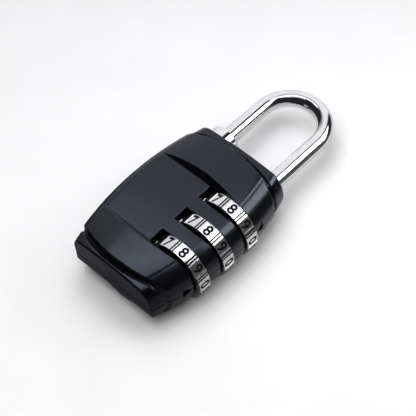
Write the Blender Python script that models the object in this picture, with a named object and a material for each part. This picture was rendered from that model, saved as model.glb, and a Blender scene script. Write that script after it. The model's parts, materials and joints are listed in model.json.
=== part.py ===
"""Three-dial combination padlock with a chrome shackle, lying on its back.

The lock has its own axes: X towards the dials' side, Y towards the shackle, Z out of the front face.
Their origin is the middle of the middle dial, and the parting plane of the two shells is Z = 0.
The empty "lock_frame" carries them: it puts the back bands on the ground and the outline's middle
over the world's origin.
"""

import math

import bmesh
import bpy
from mathutils import Vector

MM = 0.001

# Driving dimensions, in metres.
GAP = 0.3 * MM
DIAL_COUNT = 3
DIGITS = 10
DIAL_PITCH = 7.4 * MM
DIAL_RADIUS = 7.4 * MM
DIAL_WIDTH = 3.1 * MM
SLOT_WIDTH = 3.7 * MM
ROD_RADIUS = 2.0 * MM
LEG_SPACING = 16.3 * MM

# Body outline: barrel sides in plan, a base with straight ends and a raised pad with round ends.
BODY_MID_X = -8.5 * MM
BODY_HALF_WIDTH = 15.2 * MM
BARREL_MID_Y = 2.0 * MM
BARREL_RADIUS = 72.0 * MM
BASE_BOTTOM_Y = -19.5 * MM
BASE_TOP_Y = 21.3 * MM
PAD_BOTTOM_Y = -18.0 * MM
PAD_TOP_Y = 20.2 * MM
PAD_END_RADIUS = 30.0 * MM
BASE_INSET = 0.25 * MM

# Body heights from the parting plane.
SIDE_RADIUS = BODY_MID_X + BODY_HALF_WIDTH
PANEL_HEIGHT = 6.0 * MM
FRONT_CROWN = 1.4 * MM
BACK_HEIGHT = 7.5 * MM
FRONT_BASE_DROP = 0.8 * MM
BACK_BASE_HEIGHT = 5.4 * MM
LEFT_EDGE_RADIUS = 2.8 * MM
PANEL_HALF_LENGTH = DIAL_PITCH + SLOT_WIDTH / 2
PANEL_STEP_RUN = 1.4 * MM
PANEL_STEP_RISE = 1.6 * MM

# Dial slots and the code sleeves inside the dials.
SLOT_RADIUS = DIAL_RADIUS + 0.4 * MM
WINDOW_LEFT = -6.6 * MM
WINDOW_FLOOR = 3.0 * MM
GROOVE_RADIUS = 7.2 * MM
FLAT_HALF_DEGREES = 10.0
GROOVE_HALF_DEGREES = 2.2
READING_DEGREES = 86.0
SLEEVE_RADIUS = 4.0 * MM
SLEEVE_LENGTH = 5.2 * MM
SLEEVE_BORE = ROD_RADIUS + GAP
JOURNAL_BORE = SLEEVE_RADIUS + GAP
KEY_WIDTH = 1.2 * MM
KEY_HEIGHT = 0.8 * MM
KEY_LENGTH = 2.4 * MM

# Shackle: the long leg runs through the dials, the short leg stands in the collar.
# It slides by one dial pitch, so its teeth stand between the sleeves at both ends of the travel.
TOOTH_LENGTH = 1.5 * MM
TOOTH_WIDTH = 1.2 * MM
TOOTH_RADIUS = 2.9 * MM
BEND_CENTRE_Y = 36.3 * MM
LONG_LEG_END_Y = -13.2 * MM
SHORT_LEG_END_Y = 17.8 * MM
COLLAR_RADIUS = 3.7 * MM
COLLAR_BOTTOM_Y = 13.0 * MM
COLLAR_TOP_Y = 24.5 * MM
BUSH_RADIUS = 3.6 * MM
BUSH_BOTTOM_Y = 12.3 * MM
BUSH_TOP_Y = 17.0 * MM

# Spring chamber under the long leg.
CHAMBER_RADIUS = 2.6 * MM
CHAMBER_BOTTOM_Y = -18.6 * MM
SEAT_TOP_Y = -17.9 * MM
SEAT_RADIUS = 2.3 * MM
SPRING_RADIUS = 1.55 * MM
SPRING_WIRE_RADIUS = 0.25 * MM
SPRING_TURNS = 4.5

# Detent leaf beside each dial, and the pins that join the shells.
LEAF_TIP_X = -7.75 * MM
LEAF_REACH_X = -9.5 * MM
LEAF_HALF_HEIGHT = 4.5 * MM
LEAF_THICKNESS = 0.4 * MM
LEAF_WIDTH = 2.6 * MM
POCKET_LEFT = -10.3 * MM
POCKET_HALF_HEIGHT = 4.9 * MM
PIN_RADIUS = 1.2 * MM
PIN_HALF_LENGTH = 3.6 * MM
PIN_PLACES = ((-18.6, -12.5), (-9.0, -14.6), (-18.6, 7.0), (-9.0, 15.6))

# Index notches beside the outer dials.
INDEX_WIDTH = 1.3 * MM
INDEX_DEPTH = 0.6 * MM
INDEX_HALF_HEIGHT = 1.6 * MM
INDEX_OFFSET_Y = 11.3 * MM

FACE_GAP = GAP / 2
TALL = 12.0 * MM
LEFT_X = BODY_MID_X - BODY_HALF_WIDTH
LOOP_TOP_Y = BEND_CENTRE_Y + LEG_SPACING / 2 + ROD_RADIUS


# ---------------------------------------------------------------- scene and materials

def clear_scene():
    for item in list(bpy.data.objects):
        bpy.data.objects.remove(item, do_unlink=True)


def make_material(name, colour, roughness, metallic):
    material = bpy.data.materials.new(name)
    material.use_nodes = True
    shader = material.node_tree.nodes["Principled BSDF"]
    shader.inputs["Base Color"].default_value = (*colour, 1.0)
    shader.inputs["Roughness"].default_value = roughness
    shader.inputs["Metallic"].default_value = metallic
    material.diffuse_color = (*colour, 1.0)
    return material


def make_empty(name, parent=None, location=(0.0, 0.0, 0.0)):
    empty = bpy.data.objects.new(name, None)
    empty.location = location
    empty.parent = parent
    bpy.context.scene.collection.objects.link(empty)
    return empty


def make_object(name, bm, parent, material=None, location=(0.0, 0.0, 0.0)):
    bmesh.ops.recalc_face_normals(bm, faces=bm.faces)
    mesh = bpy.data.meshes.new(name)
    bm.to_mesh(mesh)
    bm.free()
    item = bpy.data.objects.new(name, mesh)
    item.location = location
    item.parent = parent
    bpy.context.scene.collection.objects.link(item)
    if material:
        mesh.materials.append(material)
    return item


def make_cutter(name, bm, parent, location=(0.0, 0.0, 0.0)):
    item = make_object(name, bm, parent, location=location)
    item.hide_render = True
    item.display_type = "WIRE"
    return item


def combine(item, other, operation):
    modifier = item.modifiers.new(other.name, "BOOLEAN")
    modifier.operation = operation
    modifier.solver = "EXACT"
    modifier.object = other


def shade_round(item, degrees=30.0):
    item.data.shade_smooth()
    item.data.set_sharp_from_angle(angle=math.radians(degrees))


# ---------------------------------------------------------------- solids

def polar(radius, degrees):
    """Point in the XZ plane, with the angle counted from +Z towards +X."""
    angle = math.radians(degrees)
    return radius * math.sin(angle), radius * math.cos(angle)


def circle(radius, sides=32, centre=(0.0, 0.0)):
    points = [polar(radius, 360.0 * i / sides) for i in range(sides)]
    return [(x + centre[0], z + centre[1]) for x, z in points]


def skin_loops(bm, loops):
    """Joins equally long closed loops of points, and caps the first and the last."""
    rings = [[bm.verts.new(point) for point in loop] for loop in loops]
    count = len(rings[0])
    for lower, upper in zip(rings, rings[1:]):
        for i in range(count):
            j = (i + 1) % count
            bm.faces.new((lower[i], lower[j], upper[j], upper[i]))
    bm.faces.new(list(reversed(rings[0])))
    bm.faces.new(rings[-1])


def prism_along_y(outline, start_y, end_y):
    bm = bmesh.new()
    skin_loops(bm, [[(x, y, z) for x, z in outline] for y in (start_y, end_y)])
    return bm


def prism_along_z(outline, start_z, end_z):
    bm = bmesh.new()
    skin_loops(bm, [[(x, y, z) for x, y in outline] for z in (start_z, end_z)])
    return bm


def prism_along_x(outline, start_x, end_x):
    bm = bmesh.new()
    skin_loops(bm, [[(x, y, z) for y, z in outline] for x in (start_x, end_x)])
    return bm


def block(low, high):
    corners = [(low[0], low[1]), (high[0], low[1]), (high[0], high[1]), (low[0], high[1])]
    return prism_along_z(corners, low[2], high[2])


def tube_along_y(outer_radius, inner_radius, start_y, end_y, sides=40):
    bm = bmesh.new()
    section = ((outer_radius, start_y), (outer_radius, end_y), (inner_radius, end_y), (inner_radius, start_y))
    rings = []
    for radius, y in section:
        rings.append([bm.verts.new((x, y, z)) for x, z in circle(radius, sides)])
    for k, ring in enumerate(rings):
        following = rings[(k + 1) % len(rings)]
        for i in range(sides):
            j = (i + 1) % sides
            bm.faces.new((ring[i], ring[j], following[j], following[i]))
    return bm


def swept_rod(path, radius, sides=16):
    """Round rod along a flat or helical path of points."""
    loops = []
    for i, point in enumerate(path):
        ahead = path[min(i + 1, len(path) - 1)]
        behind = path[max(i - 1, 0)]
        tangent = (ahead - behind).normalized()
        across = tangent.cross(Vector((0.0, 0.0, 1.0)))
        if across.length < 0.2:
            across = tangent.cross(Vector((0.0, 1.0, 0.0)))
        across.normalize()
        upward = across.cross(tangent)
        loop = []
        for k in range(sides):
            turn = 2.0 * math.pi * k / sides
            loop.append(point + across * radius * math.cos(turn) + upward * radius * math.sin(turn))
        loops.append(loop)
    bm = bmesh.new()
    skin_loops(bm, loops)
    return bm


# ---------------------------------------------------------------- body shells

def barrel_inset(y):
    """How far the side has come in from its widest place."""
    return BARREL_RADIUS - math.sqrt(BARREL_RADIUS ** 2 - (y - BARREL_MID_Y) ** 2)


def shell_section(y, inset, edge_height, crown, side_height):
    """Half section at one Y, from the right parting edge over the face to the left one."""
    right = SIDE_RADIUS - barrel_inset(y) - inset
    left = LEFT_X + barrel_inset(y) + inset
    points = []
    centre = right - (SIDE_RADIUS - inset)
    width = SIDE_RADIUS - inset
    last_turn = math.acos(edge_height / side_height)
    for i in range(8):
        turn = math.pi / 2 + (last_turn - math.pi / 2) * i / 7
        points.append((centre + width * math.sin(turn), side_height * math.cos(turn)))
    crease = points[-1][0]
    edge = left + LEFT_EDGE_RADIUS
    for i in range(1, 12):
        share = i / 12
        rise = crown * 4.0 * share * (1.0 - share)
        points.append((crease + (edge - crease) * share, edge_height + rise))
    for i in range(6):
        turn = math.radians(90.0 * i / 5)
        drop = LEFT_EDGE_RADIUS * (1.0 - math.cos(turn))
        points.append((edge - LEFT_EDGE_RADIUS * math.sin(turn), edge_height - drop))
    points.append((left, FACE_GAP))
    points[0] = (points[0][0], FACE_GAP)
    return points


def shell_solid(start_y, end_y, inset, edge_height, crown, side_height, sign):
    steps = 14
    loops = []
    for i in range(steps + 1):
        y = start_y + (end_y - start_y) * i / steps
        section = shell_section(y, inset, edge_height, crown, side_height)
        loops.append([(x, y, sign * z) for x, z in section])
    bm = bmesh.new()
    skin_loops(bm, loops)
    return bm


def pad_outline():
    """Plan of the raised pad: round ends, and sides left to the barrel."""
    left = LEFT_X - 2.0 * MM
    right = SIDE_RADIUS + 3.0 * MM
    points = []
    for middle_y, direction in ((PAD_BOTTOM_Y, -1.0), (PAD_TOP_Y, 1.0)):
        steps = 20
        for i in range(steps + 1):
            share = i / steps if direction < 0 else 1.0 - i / steps
            x = left + (right - left) * share
            sag = PAD_END_RADIUS - math.sqrt(PAD_END_RADIUS ** 2 - (x - BODY_MID_X) ** 2)
            points.append((x, middle_y - direction * sag))
    return points


def dial_positions():
    return [DIAL_PITCH * (1 - k) for k in range(DIAL_COUNT)]


def shell_cutters(frame):
    """Everything that is hollow in both shells."""
    cutters = []
    half = SLOT_WIDTH / 2
    for number, y in enumerate(dial_positions(), start=1):
        round_part = prism_along_y(circle(SLOT_RADIUS, 48), y - half, y + half)
        cutters.append(make_cutter(f"cut_slot_{number}", round_part, frame))
        for side, sign in (("front", 1.0), ("back", -1.0)):
            low, high = sorted((sign * WINDOW_FLOOR, sign * TALL))
            window = block((WINDOW_LEFT, y - half, low), (TALL, y + half, high))
            cutters.append(make_cutter(f"cut_window_{side}_{number}", window, frame))
        pocket = block((POCKET_LEFT, y - LEAF_WIDTH / 2 - GAP, -POCKET_HALF_HEIGHT),
                       (WINDOW_LEFT + MM, y + LEAF_WIDTH / 2 + GAP, POCKET_HALF_HEIGHT))
        cutters.append(make_cutter(f"cut_leaf_pocket_{number}", pocket, frame))
    reach = DIAL_PITCH + SLEEVE_LENGTH / 2 + GAP
    bores = (
        ("journal", JOURNAL_BORE, -reach, BUSH_BOTTOM_Y - GAP, 0.0),
        ("leg_bush", BUSH_RADIUS + GAP, BUSH_BOTTOM_Y - 2 * GAP, BUSH_TOP_Y + GAP, 0.0),
        ("leg_exit", ROD_RADIUS + GAP, BUSH_TOP_Y, BASE_TOP_Y + 5 * MM, 0.0),
        ("chamber", TOOTH_RADIUS + 2 * GAP, LONG_LEG_END_Y, -reach + GAP, 0.0),
        ("spring", CHAMBER_RADIUS, CHAMBER_BOTTOM_Y, LONG_LEG_END_Y + MM, 0.0),
        ("collar", COLLAR_RADIUS + GAP, COLLAR_BOTTOM_Y - GAP, BASE_TOP_Y + 5 * MM, -LEG_SPACING),
    )
    for name, radius, start_y, end_y, x in bores:
        bore = prism_along_y(circle(radius, 32, (x, 0.0)), start_y, end_y)
        cutters.append(make_cutter(f"cut_{name}", bore, frame))
    for number, (x, y) in enumerate(PIN_PLACES, start=1):
        hole = prism_along_z(circle(PIN_RADIUS + GAP, 16, (x * MM, y * MM)),
                             -PIN_HALF_LENGTH - GAP, PIN_HALF_LENGTH + GAP)
        cutters.append(make_cutter(f"cut_pin_{number}", hole, frame))
    for name, sign in (("low", -1.0), ("high", 1.0)):
        y = sign * INDEX_OFFSET_Y
        inner = SIDE_RADIUS - barrel_inset(y) - INDEX_DEPTH
        notch = block((inner, y - INDEX_WIDTH / 2, -INDEX_HALF_HEIGHT),
                      (TALL, y + INDEX_WIDTH / 2, INDEX_HALF_HEIGHT))
        cutters.append(make_cutter(f"cut_index_{name}", notch, frame))
    return cutters


def panel_cutter(name, sign, frame):
    """Recess across the dials, with a sloped step at each end."""
    reach = TALL - PANEL_HEIGHT
    run = reach * PANEL_STEP_RUN / PANEL_STEP_RISE
    low, high = sign * PANEL_HEIGHT, sign * TALL
    outline = [(-PANEL_HALF_LENGTH, low), (PANEL_HALF_LENGTH, low),
               (PANEL_HALF_LENGTH + run, high), (-PANEL_HALF_LENGTH - run, high)]
    return make_cutter(name, prism_along_x(outline, LEFT_X - 2 * MM, TALL), frame)


def build_shells(frame, material):
    outline = make_cutter("guide_pad_outline", prism_along_z(pad_outline(), -TALL, TALL), frame)
    cutters = shell_cutters(frame)
    front_side = SIDE_RADIUS
    back_side = BACK_HEIGHT + 0.4 * MM
    designs = (
        ("front_shell", 1.0, PANEL_HEIGHT, FRONT_CROWN, front_side, PANEL_HEIGHT - FRONT_BASE_DROP, FRONT_CROWN),
        ("back_shell", -1.0, BACK_HEIGHT, 0.0, back_side, BACK_BASE_HEIGHT, 0.0),
    )
    for name, sign, edge, crown, side, base_edge, base_crown in designs:
        base = shell_solid(BASE_BOTTOM_Y, BASE_TOP_Y, BASE_INSET, base_edge, base_crown, side - BASE_INSET, sign)
        shell = make_object(name, base, frame, material)
        reach = 1.0 * MM
        pad_mesh = shell_solid(BASE_BOTTOM_Y - reach, BASE_TOP_Y + reach, 0.0, edge, crown, side, sign)
        pad = make_cutter(f"guide_pad_{name}", pad_mesh, frame)
        combine(pad, outline, "INTERSECT")
        combine(shell, pad, "UNION")
        combine(shell, panel_cutter(f"cut_panel_{name}", sign, frame), "DIFFERENCE")
        for cutter in cutters:
            combine(shell, cutter, "DIFFERENCE")


# ---------------------------------------------------------------- dials and sleeves

def dial_outline():
    """Round drum with ten flats for the digits, one at the reading line, and a groove between neighbours."""
    step = 360.0 / DIGITS
    edge = step / 2 - GROOVE_HALF_DEGREES
    groove = step / 2 - GROOVE_HALF_DEGREES / 2
    points = []
    for k in range(DIGITS):
        middle = READING_DEGREES + step * k
        for radius, offset in ((GROOVE_RADIUS, -groove), (DIAL_RADIUS, -edge), (DIAL_RADIUS, -FLAT_HALF_DEGREES),
                               (DIAL_RADIUS, FLAT_HALF_DEGREES), (DIAL_RADIUS, edge), (GROOVE_RADIUS, groove)):
            points.append(polar(radius, middle + offset))
    return points


def build_dials(frame, chrome, brass):
    half = DIAL_WIDTH / 2
    key_half = KEY_WIDTH / 2
    for number, y in enumerate(dial_positions(), start=1):
        hub = make_empty(f"dial_axis_{number}", frame, (0.0, y, 0.0))
        dial = make_object(f"dial_{number}", prism_along_y(dial_outline(), -half, half), hub, chrome)
        bore = make_cutter(f"cut_dial_bore_{number}", prism_along_y(circle(JOURNAL_BORE, 40), -MM * 3, MM * 3), hub)
        keyway = block((-key_half - GAP, -MM * 3, 0.0),
                       (key_half + GAP, MM * 3, SLEEVE_RADIUS + KEY_HEIGHT + GAP))
        combine(dial, bore, "DIFFERENCE")
        combine(dial, make_cutter(f"cut_keyway_{number}", keyway, hub), "DIFFERENCE")

        tube = tube_along_y(SLEEVE_RADIUS, SLEEVE_BORE, -SLEEVE_LENGTH / 2, SLEEVE_LENGTH / 2)
        sleeve = make_object(f"code_sleeve_{number}", tube, hub, brass)
        key = block((-key_half, -KEY_LENGTH / 2, SLEEVE_RADIUS - 0.5 * MM),
                    (key_half, KEY_LENGTH / 2, SLEEVE_RADIUS + KEY_HEIGHT))
        gate_half = TOOTH_WIDTH / 2 + GAP
        gate = block((-TOOTH_RADIUS - GAP, -MM * 4, -gate_half), (0.0, MM * 4, gate_half))
        combine(sleeve, make_cutter(f"guide_key_{number}", key, hub), "UNION")
        combine(sleeve, make_cutter(f"cut_gate_{number}", gate, hub), "DIFFERENCE")


# ---------------------------------------------------------------- shackle and its fittings

def shackle_path():
    points = [Vector((0.0, LONG_LEG_END_Y, 0.0))]
    bend = LEG_SPACING / 2
    steps = 24
    for i in range(steps + 1):
        turn = math.pi * i / steps
        points.append(Vector((-bend + bend * math.cos(turn), BEND_CENTRE_Y + bend * math.sin(turn), 0.0)))
    points.append(Vector((-LEG_SPACING, SHORT_LEG_END_Y, 0.0)))
    return points


def build_shackle(frame, chrome):
    slide = make_empty("shackle_slide", frame)
    shackle = make_object("shackle", swept_rod(shackle_path(), ROD_RADIUS), slide, chrome)
    for number, y in enumerate(dial_positions(), start=1):
        middle = y - DIAL_PITCH / 2
        tooth = block((-TOOTH_RADIUS, middle - TOOTH_LENGTH / 2, -TOOTH_WIDTH / 2),
                      (-ROD_RADIUS / 2, middle + TOOTH_LENGTH / 2, TOOTH_WIDTH / 2))
        combine(shackle, make_cutter(f"guide_tooth_{number}", tooth, slide), "UNION")


def build_collar(frame, chrome):
    collar = tube_along_y(COLLAR_RADIUS, ROD_RADIUS + GAP, COLLAR_BOTTOM_Y, COLLAR_TOP_Y)
    shade_round(make_object("shackle_collar", collar, frame, chrome, (-LEG_SPACING, 0.0, 0.0)))


def build_leg_bush(frame, steel):
    bush = tube_along_y(BUSH_RADIUS, ROD_RADIUS + GAP, BUSH_BOTTOM_Y, BUSH_TOP_Y)
    shade_round(make_object("leg_bush", bush, frame, steel))


def build_spring(frame, steel):
    seat = prism_along_y(circle(SEAT_RADIUS, 24), CHAMBER_BOTTOM_Y + GAP, SEAT_TOP_Y)
    make_object("spring_seat", seat, frame, steel)
    low = SEAT_TOP_Y + GAP + SPRING_WIRE_RADIUS
    high = LONG_LEG_END_Y - GAP - SPRING_WIRE_RADIUS
    steps = int(SPRING_TURNS * 14)
    path = []
    for i in range(steps + 1):
        share = i / steps
        x, z = polar(SPRING_RADIUS, 360.0 * SPRING_TURNS * share)
        path.append(Vector((x, low + (high - low) * share, z)))
    shade_round(make_object("shackle_spring", swept_rod(path, SPRING_WIRE_RADIUS, 6), frame, steel), 60.0)


def leaf_outline():
    """Bowed strip that presses on the dial's flats at its middle."""
    front = []
    steps = 12
    for i in range(steps + 1):
        share = 2.0 * i / steps - 1.0
        bow = (LEAF_TIP_X - LEAF_REACH_X) * (1.0 - abs(share) ** 1.5)
        front.append((LEAF_REACH_X + bow, LEAF_HALF_HEIGHT * share))
    back = [(x - LEAF_THICKNESS, z) for x, z in reversed(front)]
    return front + back


def build_leaves(frame, steel):
    for number, y in enumerate(dial_positions(), start=1):
        strip = prism_along_y(leaf_outline(), y - LEAF_WIDTH / 2, y + LEAF_WIDTH / 2)
        make_object(f"detent_leaf_{number}", strip, frame, steel)


def build_pins(frame, steel):
    for number, (x, y) in enumerate(PIN_PLACES, start=1):
        pin = prism_along_z(circle(PIN_RADIUS, 16), -PIN_HALF_LENGTH, PIN_HALF_LENGTH)
        make_object(f"shell_pin_{number}", pin, frame, steel, (x * MM, y * MM, 0.0))


def main():
    clear_scene()
    black = make_material("black_enamel", (0.022, 0.022, 0.026), 0.32, 0.35)
    chrome = make_material("chrome", (0.82, 0.82, 0.83), 0.07, 1.0)
    dial_chrome = make_material("satin_chrome", (0.74, 0.74, 0.75), 0.18, 1.0)
    brass = make_material("brass", (0.72, 0.52, 0.23), 0.3, 1.0)
    steel = make_material("spring_steel", (0.5, 0.5, 0.52), 0.35, 1.0)
    centre_x = (LEFT_X + max(x for x, z in dial_outline())) / 2
    centre_y = (BASE_BOTTOM_Y + LOOP_TOP_Y) / 2
    frame = make_empty("lock_frame", None, (-centre_x, -centre_y, BACK_HEIGHT))
    build_shells(frame, black)
    build_dials(frame, dial_chrome, brass)
    build_shackle(frame, chrome)
    build_collar(frame, chrome)
    build_leg_bush(frame, steel)
    build_spring(frame, steel)
    build_leaves(frame, steel)
    build_pins(frame, steel)


main()
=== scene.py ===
import json
import math

import bmesh
import bpy
import numpy as np
from mathutils import Matrix, Vector


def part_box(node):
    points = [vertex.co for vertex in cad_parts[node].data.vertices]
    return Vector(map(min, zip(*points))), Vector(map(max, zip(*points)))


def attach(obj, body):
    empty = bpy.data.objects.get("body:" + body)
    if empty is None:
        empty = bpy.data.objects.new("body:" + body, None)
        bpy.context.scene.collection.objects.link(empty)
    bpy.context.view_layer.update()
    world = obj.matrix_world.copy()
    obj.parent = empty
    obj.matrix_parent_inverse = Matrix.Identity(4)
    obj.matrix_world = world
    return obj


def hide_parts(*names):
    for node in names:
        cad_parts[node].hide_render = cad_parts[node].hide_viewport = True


# Looks of a three-dial combination padlock that lies on its back.
#
# Mesh code works in the lock's own axes, in millimetres from the middle dial's centre: X towards the
# dials' side, Y towards the shackle, Z out of the front face. place() puts a mesh into the frame.

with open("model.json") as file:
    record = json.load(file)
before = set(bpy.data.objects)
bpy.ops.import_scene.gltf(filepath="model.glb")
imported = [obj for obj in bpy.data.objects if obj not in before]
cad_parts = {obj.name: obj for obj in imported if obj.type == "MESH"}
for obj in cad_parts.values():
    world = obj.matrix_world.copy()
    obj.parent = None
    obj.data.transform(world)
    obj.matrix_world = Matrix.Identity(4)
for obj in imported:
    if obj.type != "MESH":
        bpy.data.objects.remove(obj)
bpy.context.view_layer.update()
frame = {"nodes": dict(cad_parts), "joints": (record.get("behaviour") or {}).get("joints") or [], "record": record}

MM = 0.001
JOINTS = {joint["name"]: joint for joint in frame["joints"]}
ORIGIN = Vector(JOINTS["middle_dial_turn"]["pos_m"])
DIALS = (("upper_dial", "dial_1"), ("middle_dial", "dial_2"), ("lower_dial", "dial_3"))


def lock_box(node):
    """Lowest and highest corner of a CAD node in the lock's axes, in millimetres."""
    low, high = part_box(node)
    return (low - ORIGIN) / MM, (high - ORIGIN) / MM


DIAL_CENTRES = [(Vector(JOINTS[f"{body}_turn"]["pos_m"]) - ORIGIN).y / MM for body, node in DIALS]
DIAL_LOW, DIAL_HIGH = lock_box("dial_2")
DIAL_RADIUS = DIAL_HIGH.z
DIAL_HALF_WIDTH = (DIAL_HIGH.y - DIAL_LOW.y) / 2
FRONT_LOW, FRONT_HIGH = lock_box("front_shell")
SHACKLE_LOW, SHACKLE_HIGH = lock_box("shackle")
COLLAR_LOW, COLLAR_HIGH = lock_box("shackle_collar")
ROD_RADIUS = SHACKLE_HIGH.z
COLLAR_RADIUS = COLLAR_HIGH.z
LEG_X = (COLLAR_LOW.x + COLLAR_HIGH.x) / 2

# Body plan: barrel sides, a base with straight ends and a pad with round ends.
LEFT_X = -23.69
SIDE_RADIUS = 6.7
BODY_MID_X = (LEFT_X + SIDE_RADIUS) / 2
BARREL_MID_Y = 2.0
BARREL_RADIUS = 72.0
PAD_BOTTOM_Y = -18.0
PAD_TOP_Y = 19.2
PAD_BOTTOM_RADIUS = 30.0
PAD_TOP_RADIUS = 40.0
BASE_INSET = 0.25

# Body skin and edges.
PANEL_HEIGHT = 6.0
PANEL_HALF_LENGTH = 9.25
STEP_SLOPE = 1.4 / 1.6
LEFT_EDGE_RADIUS = 2.8
CREASE_X = math.sqrt(SIDE_RADIUS ** 2 - PANEL_HEIGHT ** 2)
FACE_MID_X = (CREASE_X + LEFT_X + LEFT_EDGE_RADIUS) / 2
FACE_HALF_WIDTH = (CREASE_X - LEFT_X - LEFT_EDGE_RADIUS) / 2
CREASE_RADIUS = 0.5
END_EDGE_RADIUS = 0.4
PAD_EDGE = 0.22
PAD_FOOT_RADIUS = 0.1
GROOVE_RADIUS = 0.42
GROOVE_EDGE = 0.12
PANEL_EDGE = 0.12
SEAM_HALF = 0.05
SEAM_EDGE = 0.1

# Openings for the dials, and the index pockets beside them.
SLOT_HALF = 1.85
SLOT_RADIUS = 7.8
SLOT_EDGE = 0.16
WINDOW_LEFT = -6.6
WINDOW_FLOOR = 3.0
INDEX_TIP_Y = 9.9
INDEX_BASE_Y = 12.0
INDEX_HALF_HEIGHT = 1.25
INDEX_DEPTH = 0.5
INDEX_EDGE = 0.1

# Hollows inside the body, each a little larger than what it holds.
SLEEVE_BORE_RADIUS = 4.3
SLEEVE_BORE_PAST_DIAL = 2.9
SLEEVE_BORE_TOP_Y = 12.0
BUSH_BORE_RADIUS = 3.9
BUSH_BORE_BOTTOM_Y = 11.7
BUSH_BORE_TOP_Y = 17.3
LEG_EXIT_BOTTOM_Y = 17.0
TOOTH_CHAMBER_RADIUS = 3.5
TOOTH_CHAMBER_BOTTOM_Y = -13.2
SPRING_BORE_RADIUS = 2.6
SPRING_BORE_BOTTOM_Y = -18.6
SPRING_BORE_TOP_Y = -12.2
LEAF_POCKET_LEFT_X = -10.3
LEAF_POCKET_RIGHT_X = -5.6
LEAF_POCKET_HALF_WIDTH = 1.6
LEAF_POCKET_HEIGHT = 4.9
SIDE_CLEARANCE = 0.15
COLLAR_CLEARANCE = 0.12
END_CLEARANCE = 0.3
PAST_THE_END = 5.0  # how far the holes for the legs reach outside the body

# Grid that the shells are made on: coarser on the plain left, finer from the windows to the right.
FINE_PITCH = 0.2
COARSE_PITCH = 0.32
GRID_LEFT_X = -24.1
GRID_FINE_X = -8.0
GRID_RIGHT_X = 7.3
GRID_BOTTOM = -0.15
GRID_MARGIN = 0.35

# Dials.
FLAT_HALF_DEGREES = 10.0
FLAT_SINK = 0.03
DIGIT_STEP = 36.0
READING_DEGREES = 86.0
RIM = 0.2
DRUM_SIDES = 240
DRUM_BORE_RADIUS = 4.3
DRUM_CHAMFER = 0.08
DRUM_EDGE = 0.035
DRUM_EDGE_DEGREES = 25.0
DIGIT_HEIGHT = 2.5
FONT_DIGIT_HEIGHT = 0.729  # of a digit in Blender's own font at size 1
DIGIT_SWELL = 0.09
DIGIT_DEPTH = 0.16
DIGIT_CUTTER_RISE = 0.5
DIGIT_MERGE_DISTANCE = 0.0005
DIGIT_FACES_AT_LEAST = 200
SCORE_LEFT_SIDES = (-0.5, 0.12)
SCORE_WIDTH = 0.38
SCORE_DEPTH = 0.32
PAST_THE_DRUM = 1.0  # how far the cutting shapes reach outside the drum

# Paint in the digits, and painted shade in the score lines: how far down it starts and stops, from the flat or the
# drum.
DIGIT_PAINT_SWELL = 0.085
DIGIT_PAINT_FOOT = 0.2
DIGIT_PAINT_TOP = 0.06
SCORE_SHADE_PAINT_FOOT = 0.34
SCORE_SHADE_PAINT_TOP = 0.18
PAINT_END_GAP = 0.02

# Shackle and collar.
CHROME_SMOOTH_DEGREES = 40.0
ROD_SIDES = 64
BEND_STEPS = 72
ROD_CHAMFER = 0.4
SHORT_LEG_END_Y = 17.8
TOOTH_TIP_X = -2.9
TOOTH_ROOT_X = -1.9
TOOTH_HALF_LENGTH = 0.75
TOOTH_HALF_HEIGHT = 0.6
TOOTH_EDGE = 0.12
COLLAR_SIDES = 96
COLLAR_RIM_RADIUS = 0.45
COLLAR_RIM_STEPS = 8
COLLAR_BORE_GAP = 0.14
COLLAR_COUNTERSINK = 0.25

# Noise values between which a material goes from its low to its high setting.
NOISE_LOW = 0.3
NOISE_HIGH = 0.7

# Studio.
CEILING_TINT = (0.9, 0.92, 1.0)
WALL_COLOUR = (0.94, 0.94, 0.96)
ROOM_COLOUR = (0.02, 0.02, 0.022)
CORNER_COLOUR = (0.085, 0.085, 0.09)
BACKDROP_COLOUR = (0.86, 0.86, 0.87)
TABLE_HALF_METRES = 1.5

# Painted shade on the table as mirrors see it: its colour, or its darkest grey and how much lighter it gets.
REFLECTED_SHADE_IN_FRONT = (0.16, 0.16, 0.18)
REFLECTED_SHADE_BY_SHACKLE = (0.05, 0.05, 0.05)
LEFT_REFLECTED_SHADE = 0.05
LEFT_TABLE_RISE = 0.72
RIGHT_REFLECTED_SHADE = 0.24
RIGHT_TABLE_RISE = 0.3

# Camera: place from the middle dial in millimetres, directions, and focal length on a 36 mm sensor.
CAMERA_PLACE = (130.347, -110.460, 247.885)
CAMERA_RIGHT = (0.72182, 0.68855, -0.06983)
CAMERA_FORWARD = (-0.44536, 0.38489, -0.80840)
CAMERA_LENS = 121.15
CAMERA_SENSOR = 36.0


# ---------------------------------------------------------------- meshes

def place(obj):
    """Turns a mesh in the lock's millimetres into the frame's metres."""
    obj.data.transform(Matrix.Translation(ORIGIN) @ Matrix.Scale(MM, 4))
    return obj


def new_object(name, mesh, material=None):
    obj = bpy.data.objects.new(name, mesh)
    bpy.context.scene.collection.objects.link(obj)
    if material:
        mesh.materials.append(material)
    return obj


def mesh_object(name, bm, material=None):
    bmesh.ops.recalc_face_normals(bm, faces=bm.faces)
    mesh = bpy.data.meshes.new(name)
    bm.to_mesh(mesh)
    bm.free()
    return new_object(name, mesh, material)


def add_bevel(obj, width, degrees=30.0):
    """Rounds the edges that are sharper than the angle."""
    bevel = obj.modifiers.new("soft_edges", "BEVEL")
    bevel.width = width
    bevel.segments = 2
    bevel.limit_method = "ANGLE"
    bevel.angle_limit = math.radians(degrees)
    bevel.harden_normals = True


def smooth(obj, degrees):
    """Smooth shading, with edges sharper than the angle kept sharp."""
    obj.data.shade_smooth()
    obj.data.set_sharp_from_angle(angle=math.radians(degrees))
    return obj


def apply_modifiers(obj):
    """Replaces an object's mesh with what its modifiers make of it."""
    graph = bpy.context.evaluated_depsgraph_get()
    mesh = bpy.data.meshes.new_from_object(obj.evaluated_get(graph), depsgraph=graph)
    obj.modifiers.clear()
    obj.data = mesh


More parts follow.
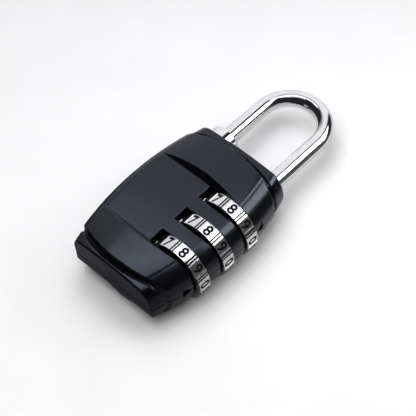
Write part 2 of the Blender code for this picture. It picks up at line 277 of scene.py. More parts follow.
def take_mesh(obj):
    """Removes a helper object and keeps its mesh."""
    mesh = obj.data
    bpy.data.objects.remove(obj)
    return mesh


def subtract(obj, cutter, crossing=False):
    """Cuts a mesh out of an object; crossing is for a cutter whose own outlines cross."""
    modifier = obj.modifiers.new("cut", "BOOLEAN")
    modifier.operation = "DIFFERENCE"
    modifier.solver = "EXACT"
    modifier.object = cutter
    modifier.use_self = crossing
    apply_modifiers(obj)
    bpy.data.objects.remove(cutter)


def polar(radius, degrees):
    """Point in the XZ plane, with the angle counted from +Z towards +X."""
    angle = math.radians(degrees)
    return radius * math.sin(angle), radius * math.cos(angle)


def turned(profile, sides):
    """Closed ring turned round the Y axis from (radius, y) points."""
    bm = bmesh.new()
    rings = []
    for radius, y in profile:
        points = [polar(radius, 360.0 * i / sides) for i in range(sides)]
        rings.append([bm.verts.new((x, y, z)) for x, z in points])
    for k, ring in enumerate(rings):
        following = rings[(k + 1) % len(rings)]
        for i in range(sides):
            j = (i + 1) % sides
            bm.faces.new((ring[i], ring[j], following[j], following[i]))
    return bm


def swept(path, radii, sides):
    """Capped round rod along a flat path in the XY plane."""
    upward = Vector((0.0, 0.0, 1.0))
    bm = bmesh.new()
    rings = []
    for i, (point, radius) in enumerate(zip(path, radii)):
        tangent = (path[min(i + 1, len(path) - 1)] - path[max(i - 1, 0)]).normalized()
        across = tangent.cross(upward).normalized()
        ring = []
        for k in range(sides):
            turn = 2.0 * math.pi * k / sides
            offset = across * math.cos(turn) + upward * math.sin(turn)
            ring.append(bm.verts.new(point + offset * radius))
        rings.append(ring)
    for lower, upper in zip(rings, rings[1:]):
        for k in range(sides):
            j = (k + 1) % sides
            bm.faces.new((lower[k], lower[j], upper[j], upper[k]))
    bm.faces.new(list(reversed(rings[0])))
    bm.faces.new(rings[-1])
    return bm


def add_block(bm, low, high, turn=None):
    """Adds a closed box; turn is a matrix applied to its corners."""
    corners = []
    for x in (low[0], high[0]):
        for y in (low[1], high[1]):
            for z in (low[2], high[2]):
                corner = Vector((x, y, z))
                corners.append(bm.verts.new(turn @ corner if turn else corner))
    for face in ((0, 1, 3, 2), (4, 6, 7, 5), (0, 4, 5, 1), (2, 3, 7, 6), (0, 2, 6, 4), (1, 5, 7, 3)):
        bm.faces.new([corners[k] for k in face])


# ---------------------------------------------------------------- rounded solids from distance fields

def meet(a, b, radius):
    """Where both fields are inside, with a rounded outer edge."""
    inner = np.minimum(-radius, np.maximum(a, b))
    return inner + np.hypot(np.maximum(radius + a, 0.0), np.maximum(radius + b, 0.0))


def join(a, b, radius):
    """Where either field is inside, with a rounded inner corner."""
    return -meet(-a, -b, radius)


def remove(a, b, radius=0.0):
    """Inside the first field and outside the second, with a rounded outer edge."""
    return meet(a, -b, radius)


def crossings_along(axis, grid, values):
    """Where the field crosses zero along one axis of the grid.

    Gives the points, the four cells round each grid edge that holds one, and whether that edge starts
    inside.
    """
    inside = values < 0.0
    lower = [slice(None)] * 3
    upper = [slice(None)] * 3
    lower[axis] = slice(None, -1)
    upper[axis] = slice(1, None)
    index = np.argwhere(inside[tuple(lower)] != inside[tuple(upper)])
    ahead = index.copy()
    ahead[:, axis] += 1
    start, end = values[tuple(index.T)], values[tuple(ahead.T)]
    share = start / (start - end)
    points = np.stack([grid[k][index[:, k]] for k in range(3)], axis=1)
    points[:, axis] += share * (grid[axis][ahead[:, axis]] - grid[axis][index[:, axis]])
    first, second = [k for k in range(3) if k != axis]
    around = []
    for step_a, step_b in ((1, 1), (0, 1), (0, 0), (1, 0)):
        cell = index.copy()
        cell[:, first] -= step_a
        cell[:, second] -= step_b
        around.append(tuple(cell.T))
    return points, around, start < 0.0


def surface_of(name, field, grid):
    """Quad mesh of the surface where the field is zero, with normals taken from the field.

    Each cell that the surface passes through holds one corner, at the mean of the crossings on its edges.
    Each crossing makes the quad between the four cells round it.
    """
    values = field(*np.meshgrid(*grid, indexing="ij"))
    crossings = [crossings_along(axis, grid, values) for axis in range(3)]
    cells = tuple(n - 1 for n in values.shape)
    total = np.zeros(cells + (3,))
    count = np.zeros(cells)
    for points, around, starts_inside in crossings:
        for cell in around:
            np.add.at(total, cell, points)
            np.add.at(count, cell, 1.0)
    used = count > 0
    number = np.cumsum(used.ravel()).reshape(cells) - 1
    corners = settle(total[used] / count[used][:, None], field)
    quads = []
    for axis, (points, around, starts_inside) in enumerate(crossings):
        quad = np.stack([number[cell] for cell in around], axis=1)
        flipped = starts_inside if axis == 1 else ~starts_inside
        quad[flipped] = quad[flipped][:, ::-1]
        quads.append(quad)
    mesh = bpy.data.meshes.new(name)
    mesh.from_pydata(corners.tolist(), [], np.concatenate(quads).tolist())
    mesh.shade_smooth()
    mesh.normals_split_custom_set_from_vertices(slopes(corners, field)[0].tolist())
    return mesh


def slopes(points, field, reach=0.04):
    """Unit normals of the field at the points, and the field's steepness there."""
    slope = np.zeros_like(points)
    for axis in range(3):
        shift = np.zeros(3)
        shift[axis] = reach
        ahead = field(*(points + shift).T)
        behind = field(*(points - shift).T)
        slope[:, axis] = (ahead - behind) / (2.0 * reach)
    steepness = np.maximum(np.linalg.norm(slope, axis=1), 1e-6)
    return slope / steepness[:, None], steepness


def settle(points, field, rounds=3, longest=0.1):
    """Moves points on to the surface, a short step at a time."""
    for _ in range(rounds):
        normals, steepness = slopes(points, field)
        step = np.clip(field(*points.T) / steepness, -longest, longest)
        points = points - normals * step[:, None]
    return points


# ---------------------------------------------------------------- body shells

class Shell:
    """One half of the body, described with its face upwards.

    face and base_face are the heights of the pad and the base at their edges, and each crown is how much
    higher the middle is. side is the height at which the round side would close over the dials' axis, and
    end_edge rounds the base's end edges.
    """

    def __init__(self, face, crown, side, base_face, base_crown, end_edge):
        self.face = face
        self.crown = crown
        self.side = side
        self.base_face = base_face
        self.base_crown = base_crown
        self.end_edge = end_edge


FRONT = Shell(face=6.0, crown=1.4, side=6.7, base_face=5.25, base_crown=0.5, end_edge=0.4)
BACK = Shell(face=7.5, crown=0.0, side=7.9, base_face=5.4, base_crown=0.0, end_edge=3.6)


def barrel_inset(y):
    """How far the bowed sides have drawn in from their widest."""
    return BARREL_RADIUS - np.sqrt(BARREL_RADIUS ** 2 - (y - BARREL_MID_Y) ** 2)


def skin(x, y, up, inset, face, crown, side):
    """Side, face and left edge of a shell."""
    inward = barrel_inset(y) + inset
    past_centre = x + inward
    height = np.minimum(up, face) * SIDE_RADIUS / side
    right = np.hypot(np.maximum(past_centre, 0.0), height) - SIDE_RADIUS
    right = right + np.minimum(past_centre, 0.0)
    across = (x - FACE_MID_X) / (FACE_HALF_WIDTH - inward)
    top = up - face - crown * (1.0 - across ** 2)
    left = LEFT_X + inward - x
    return meet(meet(right, top, CREASE_RADIUS), left, LEFT_EDGE_RADIUS)


def pad_plan(x, y):
    """Distance to the pad's outline: two wide arcs, open at the sides."""
    bottom = np.hypot(x - BODY_MID_X, y - PAD_BOTTOM_Y - PAD_BOTTOM_RADIUS) - PAD_BOTTOM_RADIUS
    top = np.hypot(x - BODY_MID_X, y - PAD_TOP_Y + PAD_TOP_RADIUS) - PAD_TOP_RADIUS
    return np.maximum(bottom, top)


def from_nearest_dial(y):
    """Distance along the lock from the middle of the nearest dial."""
    return np.min([np.abs(y - centre) for centre in DIAL_CENTRES], axis=0)


def slots(x, y, up):
    """Round clearance for each dial, and its window on the face."""
    round_part = np.hypot(x, up) - SLOT_RADIUS
    window = np.maximum(WINDOW_FLOOR - up, WINDOW_LEFT - x)
    return np.maximum(from_nearest_dial(y) - SLOT_HALF, np.minimum(round_part, window))


def index_arrows(x, y, up):
    """Arrow-shaped pockets beside the outer dials, on the parting line, pointing at the dials."""
    along = np.abs(y)
    rise = INDEX_HALF_HEIGHT / (INDEX_BASE_Y - INDEX_TIP_Y)
    flank = (np.abs(up) - (along - INDEX_TIP_Y) * rise) / math.hypot(1.0, rise)
    floor = SIDE_RADIUS - INDEX_DEPTH - np.hypot(x + barrel_inset(y), up)
    return np.maximum.reduce([flank, along - INDEX_BASE_Y, floor, -x])


def panel_cut(y, up):
    """What is cut away over the sunk panel, with a sloping step at each end."""
    step = np.abs(y) - PANEL_HALF_LENGTH - (up - PANEL_HEIGHT) * STEP_SLOPE
    return np.maximum(PANEL_HEIGHT - up, step / math.hypot(1.0, STEP_SLOPE))


def bore(x, y, up, centre_x, radius, start_y, end_y):
    """Round hole in line with the legs."""
    return np.maximum(np.hypot(x - centre_x, up) - radius, np.maximum(start_y - y, y - end_y))


def leg_bores(x, y, up):
    """Round hollows in line with the two legs."""
    reach = DIAL_CENTRES[0] + SLEEVE_BORE_PAST_DIAL
    exit_radius = ROD_RADIUS + SIDE_CLEARANCE
    collar_radius = COLLAR_RADIUS + COLLAR_CLEARANCE
    outside = FRONT_HIGH.y + PAST_THE_END
    return np.minimum.reduce([
        bore(x, y, up, 0.0, SLEEVE_BORE_RADIUS, -reach, SLEEVE_BORE_TOP_Y),
        bore(x, y, up, 0.0, BUSH_BORE_RADIUS, BUSH_BORE_BOTTOM_Y, BUSH_BORE_TOP_Y),
        bore(x, y, up, 0.0, exit_radius, LEG_EXIT_BOTTOM_Y, outside),
        bore(x, y, up, 0.0, TOOTH_CHAMBER_RADIUS, TOOTH_CHAMBER_BOTTOM_Y, -reach + END_CLEARANCE),
        bore(x, y, up, 0.0, SPRING_BORE_RADIUS, SPRING_BORE_BOTTOM_Y, SPRING_BORE_TOP_Y),
        bore(x, y, up, LEG_X, collar_radius, COLLAR_LOW.y - END_CLEARANCE, outside),
    ])


def leaf_pockets(x, y, up):
    """Room for the detent leaf beside each dial."""
    return np.maximum.reduce([
        from_nearest_dial(y) - LEAF_POCKET_HALF_WIDTH,
        up - LEAF_POCKET_HEIGHT,
        LEAF_POCKET_LEFT_X - x,
        x - LEAF_POCKET_RIGHT_X,
    ])


def pin_holes(x, y, up):
    """Holes for the four pins that join the shells."""
    holes = []
    for number in range(1, 5):
        low, high = lock_box(f"shell_pin_{number}")
        middle = (low + high) / 2
        radius = (high.x - low.x) / 2 + SIDE_CLEARANCE
        round_part = np.hypot(x - middle.x, y - middle.y) - radius
        holes.append(np.maximum(round_part, up - high.z - SIDE_CLEARANCE))
    return np.minimum.reduce(holes)


def hollows(x, y, up):
    """Everything that is hollow for the sleeves, bush, spring, collar, leaves and pins."""
    return np.minimum.reduce([leg_bores(x, y, up), leaf_pockets(x, y, up), pin_holes(x, y, up)])


def base_field(shell, y, up, base_skin):
    """The lower step of a shell: straight ends with rounded edges."""
    middle_y = (FRONT_LOW.y + FRONT_HIGH.y) / 2
    half_length = (FRONT_HIGH.y - FRONT_LOW.y) / 2
    ends = np.abs(y - middle_y) - half_length
    roof = up - shell.base_face - shell.base_crown
    return np.maximum(meet(base_skin, ends, END_EDGE_RADIUS), meet(roof, ends, shell.end_edge))


def shell_field(shell, x, y, up):
    """Base with a groove round the raised pad, less the panel, the openings and the hollows."""
    base_skin = skin(x, y, up, BASE_INSET, shell.base_face, shell.base_crown, shell.side)
    plan = pad_plan(x, y)
    groove = np.hypot(plan - GROOVE_RADIUS, base_skin) - GROOVE_RADIUS
    base = remove(base_field(shell, y, up, base_skin), groove, GROOVE_EDGE)
    pad = meet(skin(x, y, up, 0.0, shell.face, shell.crown, shell.side), plan, PAD_EDGE)
    body = join(base, pad, PAD_FOOT_RADIUS)
    body = remove(body, panel_cut(y, up), PANEL_EDGE)
    body = remove(body, slots(x, y, up), SLOT_EDGE)
    body = remove(body, index_arrows(x, y, up), INDEX_EDGE)
    body = meet(body, SEAM_HALF - up, SEAM_EDGE)
    return remove(body, hollows(x, y, up))


def spaced(low, high, pitch):
    """Even steps from low to high, as near to the pitch as they divide."""
    return np.linspace(low, high, int(round((high - low) / pitch)) + 1)


def shell_grid(shell):
    """Grid planes across, along and up the shell."""
    coarse = spaced(GRID_LEFT_X, GRID_FINE_X, COARSE_PITCH)[:-1]
    fine = spaced(GRID_FINE_X, GRID_RIGHT_X, FINE_PITCH)
    ys = spaced(FRONT_LOW.y - GRID_MARGIN, FRONT_HIGH.y + GRID_MARGIN, FINE_PITCH)
    heights = spaced(GRID_BOTTOM, shell.face + shell.crown + GRID_MARGIN, FINE_PITCH)
    return np.concatenate([coarse, fine]), ys, heights


def turn_face_down(mesh):
    """Mirrors a shell through the parting plane and keeps its smooth normals."""
    normals = [(n.vector.x, n.vector.y, -n.vector.z) for n in mesh.vertex_normals]
    mesh.transform(Matrix.Scale(-1.0, 4, (0.0, 0.0, 1.0)))
    mesh.flip_normals()
    mesh.normals_split_custom_set_from_vertices(normals)


def build_shell(name, node, shell, material):
    mesh = surface_of(name, lambda x, y, up: shell_field(shell, x, y, up), shell_grid(shell))
    if shell is BACK:
        turn_face_down(mesh)
    obj = place(new_object(name, mesh, material))
    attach(obj, "lock_body")
    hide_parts(node)


# ---------------------------------------------------------------- dials

def on_facet(degrees):
    """Turns a shape drawn with its face along +Z round the dial's axis to that angle."""
    return Matrix.Rotation(math.radians(degrees), 4, "Y")


def digit_mesh(digit, thickness, swell):
    """Closed prism of one digit in Blender's own font, with its outline widened by swell."""
    curve = bpy.data.curves.new("digit", "FONT")
    curve.body = str(digit)
    curve.size = DIGIT_HEIGHT / FONT_DIGIT_HEIGHT
    curve.offset = swell
    curve.extrude = thickness / 2
    curve.resolution_u = 4
    text = bpy.data.objects.new("digit", curve)
    bpy.context.scene.collection.objects.link(text)
    graph = bpy.context.evaluated_depsgraph_get()
    mesh = bpy.data.meshes.new_from_object(text.evaluated_get(graph), depsgraph=graph)
    bpy.data.objects.remove(text)
    return mesh


def digit_bodies(height_from, height_to, swell):
    """All ten digits as upright closed prisms on their flats, as one mesh."""
    bm = bmesh.new()
    for digit in range(10):
        mesh = digit_mesh(digit, height_to - height_from, swell)
        corners = np.array([v.co for v in mesh.vertices])
        middle = (corners.min(axis=0) + corners.max(axis=0)) / 2
        raised = Vector((-middle[0], -middle[1], (height_from + height_to) / 2))
        mesh.transform(on_facet(READING_DEGREES + DIGIT_STEP * digit) @ Matrix.Translation(raised))
        bm.from_mesh(mesh)
    bmesh.ops.remove_doubles(bm, verts=bm.verts, dist=DIGIT_MERGE_DISTANCE)
    return bm


def add_score_lines(bm, half_length, low_radius, high_radius):
    """Adds bars for the pair of lines scored between neighbouring flats."""
    for k in range(10):
        gap = on_facet(READING_DEGREES + DIGIT_STEP * (k + 0.5))
        for left in SCORE_LEFT_SIDES:
            low = (left, -half_length, low_radius)
            add_block(bm, low, (left + SCORE_WIDTH, half_length, high_radius), gap)


def drum_cutters(apothem):
    """Blocks that leave ten sunk flats, and the bars of the score lines between them."""
    flat_half = DIAL_RADIUS * math.sin(math.radians(FLAT_HALF_DEGREES))
    rim_y = DIAL_HALF_WIDTH - RIM
    outside = DIAL_RADIUS + PAST_THE_DRUM
    cutters = bmesh.new()
    for k in range(10):
        facet = on_facet(READING_DEGREES + DIGIT_STEP * k)
        add_block(cutters, (-flat_half, -rim_y, apothem), (flat_half, rim_y, outside), facet)
    add_score_lines(cutters, DIAL_HALF_WIDTH + PAST_THE_DRUM, DIAL_RADIUS - SCORE_DEPTH, outside)
    return mesh_object("cutters", cutters)


def plain_drum():
    """Round drum with chamfered rims and a bore for its code sleeve."""
    half = DIAL_HALF_WIDTH
    profile = (
        (DIAL_RADIUS - DRUM_CHAMFER, -half),
        (DIAL_RADIUS, -half + DRUM_CHAMFER),
        (DIAL_RADIUS, half - DRUM_CHAMFER),
        (DIAL_RADIUS - DRUM_CHAMFER, half),
        (DRUM_BORE_RADIUS, half),
        (DRUM_BORE_RADIUS, -half),
    )
    return mesh_object("drum", turned(profile, DRUM_SIDES))


def keep_inside(mesh):
    """Pulls back the few bevel corners that the cuts leave outside the drum."""
    for vertex in mesh.vertices:
        radius = math.hypot(vertex.co.x, vertex.co.z)
        if radius > DIAL_RADIUS:
            vertex.co.x *= DIAL_RADIUS / radius
            vertex.co.z *= DIAL_RADIUS / radius


def build_dial_mesh(apothem):
    """Drum with a sunk flat and an engraved digit ten times over, and score lines between the flats."""
    drum = plain_drum()
    subtract(drum, drum_cutters(apothem))
    plain_faces = len(drum.data.polygons)
    digits = digit_bodies(apothem - DIGIT_DEPTH, apothem + DIGIT_CUTTER_RISE, DIGIT_SWELL)
    subtract(drum, mesh_object("digits", digits), crossing=True)
    if len(drum.data.polygons) < plain_faces + DIGIT_FACES_AT_LEAST:
        raise RuntimeError("the digits didn't cut into the drum")
    add_bevel(drum, DRUM_EDGE, DRUM_EDGE_DEGREES)
    weigh = drum.modifiers.new("flat_faces_stay_flat", "WEIGHTED_NORMAL")
    weigh.keep_sharp = True
    drum.data.shade_smooth()
    apply_modifiers(drum)
    keep_inside(drum.data)
    return take_mesh(drum)


def build_paint_mesh(apothem):
    """Fill for the engraved digits, and painted shade in the score lines, just below the metal round it."""
    digits = digit_bodies(apothem - DIGIT_PAINT_FOOT, apothem - DIGIT_PAINT_TOP, DIGIT_PAINT_SWELL)
    half_length = DIAL_HALF_WIDTH - PAINT_END_GAP
    # black paint in the score lines stands in for the shade deep in the narrow grooves
    add_score_lines(digits, half_length, DIAL_RADIUS - SCORE_SHADE_PAINT_FOOT, DIAL_RADIUS - SCORE_SHADE_PAINT_TOP)
    return take_mesh(mesh_object("ink", digits))


def shifted_copy(name, mesh, centre_y):
    copy = mesh.copy()
    copy.transform(Matrix.Translation((0.0, centre_y, 0.0)))
    return place(new_object(name, copy))


def build_dials(metal, paint):
    apothem = DIAL_RADIUS * math.cos(math.radians(FLAT_HALF_DEGREES)) - FLAT_SINK
    drum_mesh = build_dial_mesh(apothem)
    drum_mesh.materials.append(metal)
    paint_mesh = build_paint_mesh(apothem)
    paint_mesh.materials.append(paint)
    for (body, node), centre in zip(DIALS, DIAL_CENTRES):
        dial = shifted_copy(f"{node}_drum", drum_mesh, centre)
        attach(dial, body)
        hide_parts(node)
        fill = shifted_copy(f"{node}_digit_paint", paint_mesh, centre)
        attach(fill, body)


# ---------------------------------------------------------------- shackle and collar

def shackle_path():
    """Middle line of the rod from the long leg's end to the short leg's, and its radius at each point."""
    bend = -LEG_X / 2
    centre_y = SHACKLE_HIGH.y - ROD_RADIUS - bend
    bottom = SHACKLE_LOW.y
    path = [Vector((0.0, bottom, 0.0)), Vector((0.0, bottom + ROD_CHAMFER, 0.0))]
    for i in range(BEND_STEPS + 1):
        turn = math.pi * i / BEND_STEPS
        path.append(Vector((-bend + bend * math.cos(turn), centre_y + bend * math.sin(turn), 0.0)))
    path.append(Vector((LEG_X, SHORT_LEG_END_Y + ROD_CHAMFER, 0.0)))
    path.append(Vector((LEG_X, SHORT_LEG_END_Y, 0.0)))
    chamfered = ROD_RADIUS - ROD_CHAMFER
    return path, [chamfered] + [ROD_RADIUS] * (len(path) - 2) + [chamfered]


def tooth_blocks():
    """The three teeth on the long leg, each half a dial spacing below its dial."""
    bm = bmesh.new()
    for centre in DIAL_CENTRES:
        middle = centre - (DIAL_CENTRES[0] - DIAL_CENTRES[1]) / 2
        low = (TOOTH_TIP_X, middle - TOOTH_HALF_LENGTH, -TOOTH_HALF_HEIGHT)
        add_block(bm, low, (TOOTH_ROOT_X, middle + TOOTH_HALF_LENGTH, TOOTH_HALF_HEIGHT))
    return bm


def build_shackle(chrome):
    """Round rod with chamfered ends, and the three teeth on its long leg."""
    path, radii = shackle_path()
    rod = mesh_object("shackle_rod_bright", swept(path, radii, ROD_SIDES), chrome)
    place(smooth(rod, CHROME_SMOOTH_DEGREES))
    teeth = place(mesh_object("shackle_teeth", tooth_blocks(), chrome))
    add_bevel(teeth, TOOTH_EDGE * MM)
    for obj in (rod, teeth):
        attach(obj, "shackle_rod")
    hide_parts("shackle")


def collar_profile():
    """(radius, y) points round the collar's section: outside, rounded rim, countersink and bore."""
    outer, inner = COLLAR_RADIUS, ROD_RADIUS + COLLAR_BORE_GAP
    low, high = COLLAR_LOW.y, COLLAR_HIGH.y
    profile = [(outer, low)]
    for i in range(COLLAR_RIM_STEPS + 1):
        turn = math.radians(90.0 * i / COLLAR_RIM_STEPS)
        radius = outer - COLLAR_RIM_RADIUS * (1.0 - math.cos(turn))
        profile.append((radius, high - COLLAR_RIM_RADIUS * (1.0 - math.sin(turn))))
    profile += [(inner + COLLAR_COUNTERSINK, high), (inner, high - COLLAR_COUNTERSINK), (inner, low)]
    return profile


def build_collar(chrome):
    """Turned bush that the short leg stands in."""
    collar = mesh_object("collar_bright", turned(collar_profile(), COLLAR_SIDES), chrome)
    smooth(collar, CHROME_SMOOTH_DEGREES)
    collar.data.transform(Matrix.Translation((LEG_X, 0.0, 0.0)))
    place(collar)
    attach(collar, "lock_body")
    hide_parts("shackle_collar")


# ---------------------------------------------------------------- materials

def math_node(tree, operation, *values):
    """Result of one operation on sockets and plain numbers."""
    node = tree.nodes.new("ShaderNodeMath")
    node.operation = operation
    for socket, value in zip(node.inputs, values):
        if isinstance(value, float):
            socket.default_value = value
        else:
            tree.links.new(value, socket)
    return node.outputs["Value"]


def ramp_node(tree, value, start, end):
    """Smooth step of a value from 0 at start to 1 at end."""
    node = tree.nodes.new("ShaderNodeMapRange")
    node.interpolation_type = "SMOOTHSTEP"
    node.inputs["From Min"].default_value = start
    node.inputs["From Max"].default_value = end
    tree.links.new(value, node.inputs["Value"])
    return node.outputs["Result"]


def blend_node(tree, factor, first, second):
    """Mixes two colours, each a colour or a socket."""
    node = tree.nodes.new("ShaderNodeMix")
    node.data_type = "RGBA"
    tree.links.new(factor, node.inputs["Factor"])
    for socket, value in (("A", first), ("B", second)):
        if isinstance(value, tuple):
            node.inputs[socket].default_value = (*value, 1.0)
        else:
            tree.links.new(value, node.inputs[socket])
    return node.outputs["Result"]


class Nodes:
    """Short forms for building a material's nodes."""

    def __init__(self, name):
        self.material = bpy.data.materials.new(name)
        self.material.use_nodes = True
        self.tree = self.material.node_tree
        self.shader = self.tree.nodes["Principled BSDF"]
        self.coordinates = self.tree.nodes.new("ShaderNodeTexCoord").outputs["Object"]

    def link(self, start, end):
        self.tree.links.new(start, end)

    def set_inputs(self, **values):
        """Sets the shader's own sockets, named with _ for a space."""
        for key, value in values.items():
            self.shader.inputs[key.replace("_", " ")].default_value = value

    def stretched(self, scale):
        """Object coordinates with their own scale on each axis, for fine lines."""
        mapping = self.tree.nodes.new("ShaderNodeMapping")
        mapping.inputs["Scale"].default_value = scale
        self.link(self.coordinates, mapping.inputs["Vector"])
        return mapping.outputs["Vector"]

    def noise(self, scale, detail=3.0, where=None):
        node = self.tree.nodes.new("ShaderNodeTexNoise")
        node.inputs["Scale"].default_value = scale
        node.inputs["Detail"].default_value = detail
        self.link(where or self.coordinates, node.inputs["Vector"])
        return node.outputs["Fac"]

    def tone(self, noise, low, high):
        """Colour that goes from low to high with a noise."""
        node = self.tree.nodes.new("ShaderNodeValToRGB")
        first, last = node.color_ramp.elements
        first.position = NOISE_LOW
        first.color = (*low, 1.0)
        last.position = NOISE_HIGH
        last.color = (*high, 1.0)
        self.link(noise, node.inputs["Fac"])
        return node.outputs["Color"]

    def base_colour(self, noise, low, high):
        self.link(self.tone(noise, low, high), self.shader.inputs["Base Color"])

    def roughness(self, noise, low, high):
        node = self.tree.nodes.new("ShaderNodeMapRange")
        limits = {"From Min": NOISE_LOW, "From Max": NOISE_HIGH, "To Min": low, "To Max": high}
        for key, number in limits.items():
            node.inputs[key].default_value = number
        self.link(noise, node.inputs["Value"])
        self.link(node.outputs["Result"], self.shader.inputs["Roughness"])

    def bump(self, noise, strength, depth):
        node = self.tree.nodes.new("ShaderNodeBump")
        node.inputs["Strength"].default_value = strength
        node.inputs["Distance"].default_value = depth
        self.link(noise, node.inputs["Height"])
        self.link(node.outputs["Normal"], self.shader.inputs["Normal"])


def black_enamel():
    """Smooth stoved enamel: near-black, with faint orange peel and uneven gloss."""
    nodes = Nodes("black_enamel_satin")
    nodes.base_colour(nodes.noise(260.0), (0.0012, 0.0013, 0.0018), (0.0024, 0.0025, 0.0034))
    nodes.roughness(nodes.noise(700.0, 4.0), 0.18, 0.24)
    nodes.bump(nodes.noise(1600.0, 2.0), 0.06, 0.00008)
    nodes.set_inputs(IOR=1.51, Specular_Tint=(0.77, 0.84, 1.0, 1.0))
    return nodes.material


def bright_chrome():
    """Polished plating: near-mirror, with a trace of haze and drawing lines along the rod."""
    nodes = Nodes("bright_chrome_plate")
    nodes.base_colour(nodes.noise(400.0), (0.80, 0.805, 0.815), (0.88, 0.882, 0.89))
    nodes.roughness(nodes.noise(900.0, 4.0), 0.035, 0.08)
    nodes.bump(nodes.noise(1.0, 2.0, nodes.stretched((900.0, 60.0, 900.0))), 0.03, 0.00003)
    nodes.set_inputs(Metallic=1.0)
    return nodes.material


def dial_chrome():
    """Satin plating, with fine turning lines round the drum."""
    nodes = Nodes("satin_dial_chrome")
    nodes.base_colour(nodes.noise(500.0), (0.72, 0.72, 0.73), (0.84, 0.84, 0.85))
    nodes.roughness(nodes.noise(1100.0, 4.0), 0.09, 0.17)
    nodes.bump(nodes.noise(1.0, 2.0, nodes.stretched((150.0, 9000.0, 150.0))), 0.08, 0.00002)
    nodes.set_inputs(Metallic=1.0)
    return nodes.material


def digit_paint():
    """Dull black filler, slightly grainy; it also paints shade into the score lines."""
    nodes = Nodes("black_digit_paint")
    nodes.base_colour(nodes.noise(1500.0), (0.002, 0.002, 0.002), (0.008, 0.008, 0.009))
    nodes.roughness(nodes.noise(2500.0), 0.55, 0.75)
    nodes.bump(nodes.noise(3000.0), 0.2, 0.00003)
    nodes.set_inputs(Specular_IOR_Level=0.03)
    return nodes.material


def turned_metal(name, low, high, rough_low, rough_high):
    """Plain inner metal with turning marks round its axis."""
    nodes = Nodes(name)
    nodes.base_colour(nodes.noise(600.0, 4.0), low, high)
    nodes.roughness(nodes.noise(1400.0), rough_low, rough_high)
    nodes.bump(nodes.noise(1.0, 2.0, nodes.stretched((200.0, 7000.0, 200.0))), 0.15, 0.00003)
    nodes.set_inputs(Metallic=1.0)
    return nodes.material


def finish_inner_nodes():
    """Gives the CAD nodes that are shown as they are a finish each, by their slot."""
    brass = turned_metal("turned_brass", (0.55, 0.38, 0.14), (0.75, 0.55, 0.25), 0.25, 0.4)
    steel = turned_metal("turned_steel", (0.35, 0.35, 0.37), (0.55, 0.55, 0.57), 0.28, 0.42)
    spring = turned_metal("spring_steel_blued", (0.2, 0.2, 0.23), (0.38, 0.38, 0.42), 0.25, 0.38)
    finishes = {"brass": brass, "steel": steel, "spring_steel": spring}
    for part in frame["record"]["subparts"]:
        finish = finishes.get(part["material_slot"])
        if finish:
            node = frame["nodes"][part["node"]]
            node.data.materials.clear()
            node.data.materials.append(finish)
            smooth(node, 35.0)


# ---------------------------------------------------------------- stage, light and camera

def mirrored_table(nodes):
    """Painted shade on the table that only reflections see, by place in the frame's metres.

    It gets lighter towards the back, less so on the dials' side, and is painted dark in front of the lock and
    beside its shackle.
    """
    tree = nodes.tree
    split = tree.nodes.new("ShaderNodeSeparateXYZ")
    nodes.link(nodes.coordinates, split.inputs["Vector"])
    x, y = split.outputs["X"], split.outputs["Y"]
    back = ramp_node(tree, y, -0.010, 0.036)
    left = math_node(tree, "MULTIPLY_ADD", back, LEFT_TABLE_RISE, LEFT_REFLECTED_SHADE)
    near = math_node(tree, "MULTIPLY", ramp_node(tree, y, -0.036, 0.0), ramp_node(tree, x, 0.048, 0.02))
    right = math_node(tree, "MULTIPLY_ADD", near, RIGHT_TABLE_RISE, RIGHT_REFLECTED_SHADE)
    sides = blend_node(tree, ramp_node(tree, x, 0.006, -0.006), right, left)
    ahead = blend_node(tree, ramp_node(tree, y, -0.026, -0.036), sides, REFLECTED_SHADE_IN_FRONT)
    past_body, past_legs = ramp_node(tree, y, 0.006, 0.012), ramp_node(tree, x, 0.023, 0.031)
    shackle_shade_mask = math_node(tree, "MULTIPLY", past_body, past_legs)
    return blend_node(tree, shackle_shade_mask, ahead, REFLECTED_SHADE_BY_SHACKLE)


def build_floor():
    """Pale table, with painted shade for the rays that come off a shiny surface."""
    bm = bmesh.new()
    bmesh.ops.create_grid(bm, x_segments=8, y_segments=8, size=TABLE_HALF_METRES)
    nodes = Nodes("pale_table")
    pale = nodes.tone(nodes.noise(60.0), (0.80, 0.80, 0.80), (0.83, 0.83, 0.83))
    reflected = nodes.tree.nodes.new("ShaderNodeLightPath").outputs["Is Glossy Ray"]
    # shiny surfaces see the painted shade in place of the table's own colour
    colour = blend_node(nodes.tree, reflected, pale, mirrored_table(nodes))
    nodes.link(colour, nodes.shader.inputs["Base Color"])
    nodes.set_inputs(Roughness=0.8, Specular_IOR_Level=0.2)
    mesh_object("table", bm, nodes.material)


def add_panel(name, centre, size, facing, radiance, colour=(1.0, 1.0, 1.0), only=None):
    """Flat soft light; centre and size in the lock's millimetres, facing as (width axis, normal).

    only is "glossy" for a light that is just mirrored, and "diffuse" for one that is never mirrored.
    """
    data = bpy.data.lights.new(name, "AREA")
    data.shape = "RECTANGLE"
    data.size = size[0] * MM
    data.size_y = size[1] * MM
    data.energy = radiance * math.pi * data.size * data.size_y
    data.color = colour
    light = bpy.data.objects.new(name, data)
    bpy.context.scene.collection.objects.link(light)
    across = Vector(facing[0]).normalized()
    back = -Vector(facing[1]).normalized()
    upward = back.cross(across)
    turn = Matrix((across, upward, back)).transposed()
    light.matrix_world = Matrix.Translation(ORIGIN + Vector(centre) * MM) @ turn.to_4x4()
    light.visible_camera = False
    light.visible_glossy = only != "diffuse"
    light.visible_diffuse = only != "glossy"


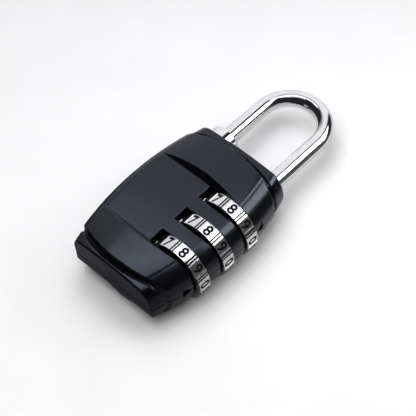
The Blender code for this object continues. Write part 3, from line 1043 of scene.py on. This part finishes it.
def build_lights():
    """A softbox behind on the dials' side, a dimmer ceiling in three parts, and two fills."""
    down = ((1.0, 0.0, 0.0), (0.0, 0.0, -1.0))
    softbox = ((0.963, 0.271, 0.0), (0.197, -0.698, -0.688))
    add_panel("softbox", (96.0, 112.6, 113.4), (141.0, 130.0), softbox, 5.0, only="glossy")
    add_panel("softbox_spill", (97.4, 112.6, 113.4), (147.0, 134.0), softbox, 2.3, only="diffuse")
    add_panel("ceiling_back", (8.0, 67.0, 162.0), (46.0, 54.0), down, 1.5, CEILING_TINT)
    add_panel("ceiling_front", (-44.5, 40.0, 162.0), (161.0, 40.0), down, 1.5, CEILING_TINT)
    add_panel("ceiling_middle", (-12.0, 14.0, 161.0), (98.0, 62.0), down, 0.9, CEILING_TINT)
    add_panel("fill_left", (-70.0, 20.0, 260.0), (240.0, 240.0), down, 2.5, only="diffuse")
    add_panel("fill_front", (20.0, -120.0, 240.0), (200.0, 200.0), down, 2.3, only="diffuse")


def build_world():
    """Pale wall behind on the left, a grey corner on the right, a dark room elsewhere.

    The camera itself sees a pale backdrop past the table's end.
    """
    world = bpy.data.worlds.new("studio")
    bpy.context.scene.world = world
    world.use_nodes = True
    tree = world.node_tree
    split = tree.nodes.new("ShaderNodeSeparateXYZ")
    tree.links.new(tree.nodes.new("ShaderNodeTexCoord").outputs["Generated"], split.inputs["Vector"])
    left = ramp_node(tree, split.outputs["X"], 0.0, -0.12)
    right = ramp_node(tree, split.outputs["X"], 0.5, 0.8)
    behind = ramp_node(tree, split.outputs["Y"], 0.0, 0.45)
    corner = blend_node(tree, math_node(tree, "MULTIPLY", right, behind), ROOM_COLOUR, CORNER_COLOUR)
    room = blend_node(tree, math_node(tree, "MULTIPLY", left, behind), corner, WALL_COLOUR)
    seen = tree.nodes.new("ShaderNodeLightPath").outputs["Is Camera Ray"]
    sky = blend_node(tree, seen, room, BACKDROP_COLOUR)
    tree.links.new(sky, tree.nodes["Background"].inputs["Color"])


def build_camera():
    """Camera from the lower right, looking up along the lock."""
    right = Vector(CAMERA_RIGHT).normalized()
    forward = Vector(CAMERA_FORWARD).normalized()
    up = right.cross(forward).normalized()
    data = bpy.data.cameras.new("camera")
    data.sensor_width = CAMERA_SENSOR
    data.lens = CAMERA_LENS
    camera = bpy.data.objects.new("camera", data)
    bpy.context.scene.collection.objects.link(camera)
    turn = Matrix((right, up, -forward)).transposed()
    camera.matrix_world = Matrix.Translation(ORIGIN + Vector(CAMERA_PLACE) * MM) @ turn.to_4x4()
    bpy.context.scene.camera = camera


def main():
    build_camera()
    enamel = black_enamel()
    chrome = bright_chrome()
    build_shell("front_cover", "front_shell", FRONT, enamel)
    build_shell("back_cover", "back_shell", BACK, enamel)
    build_dials(dial_chrome(), digit_paint())
    build_shackle(chrome)
    build_collar(chrome)
    finish_inner_nodes()
    build_floor()
    build_lights()
    build_world()
    bpy.context.scene.view_settings.view_transform = "Standard"


main()
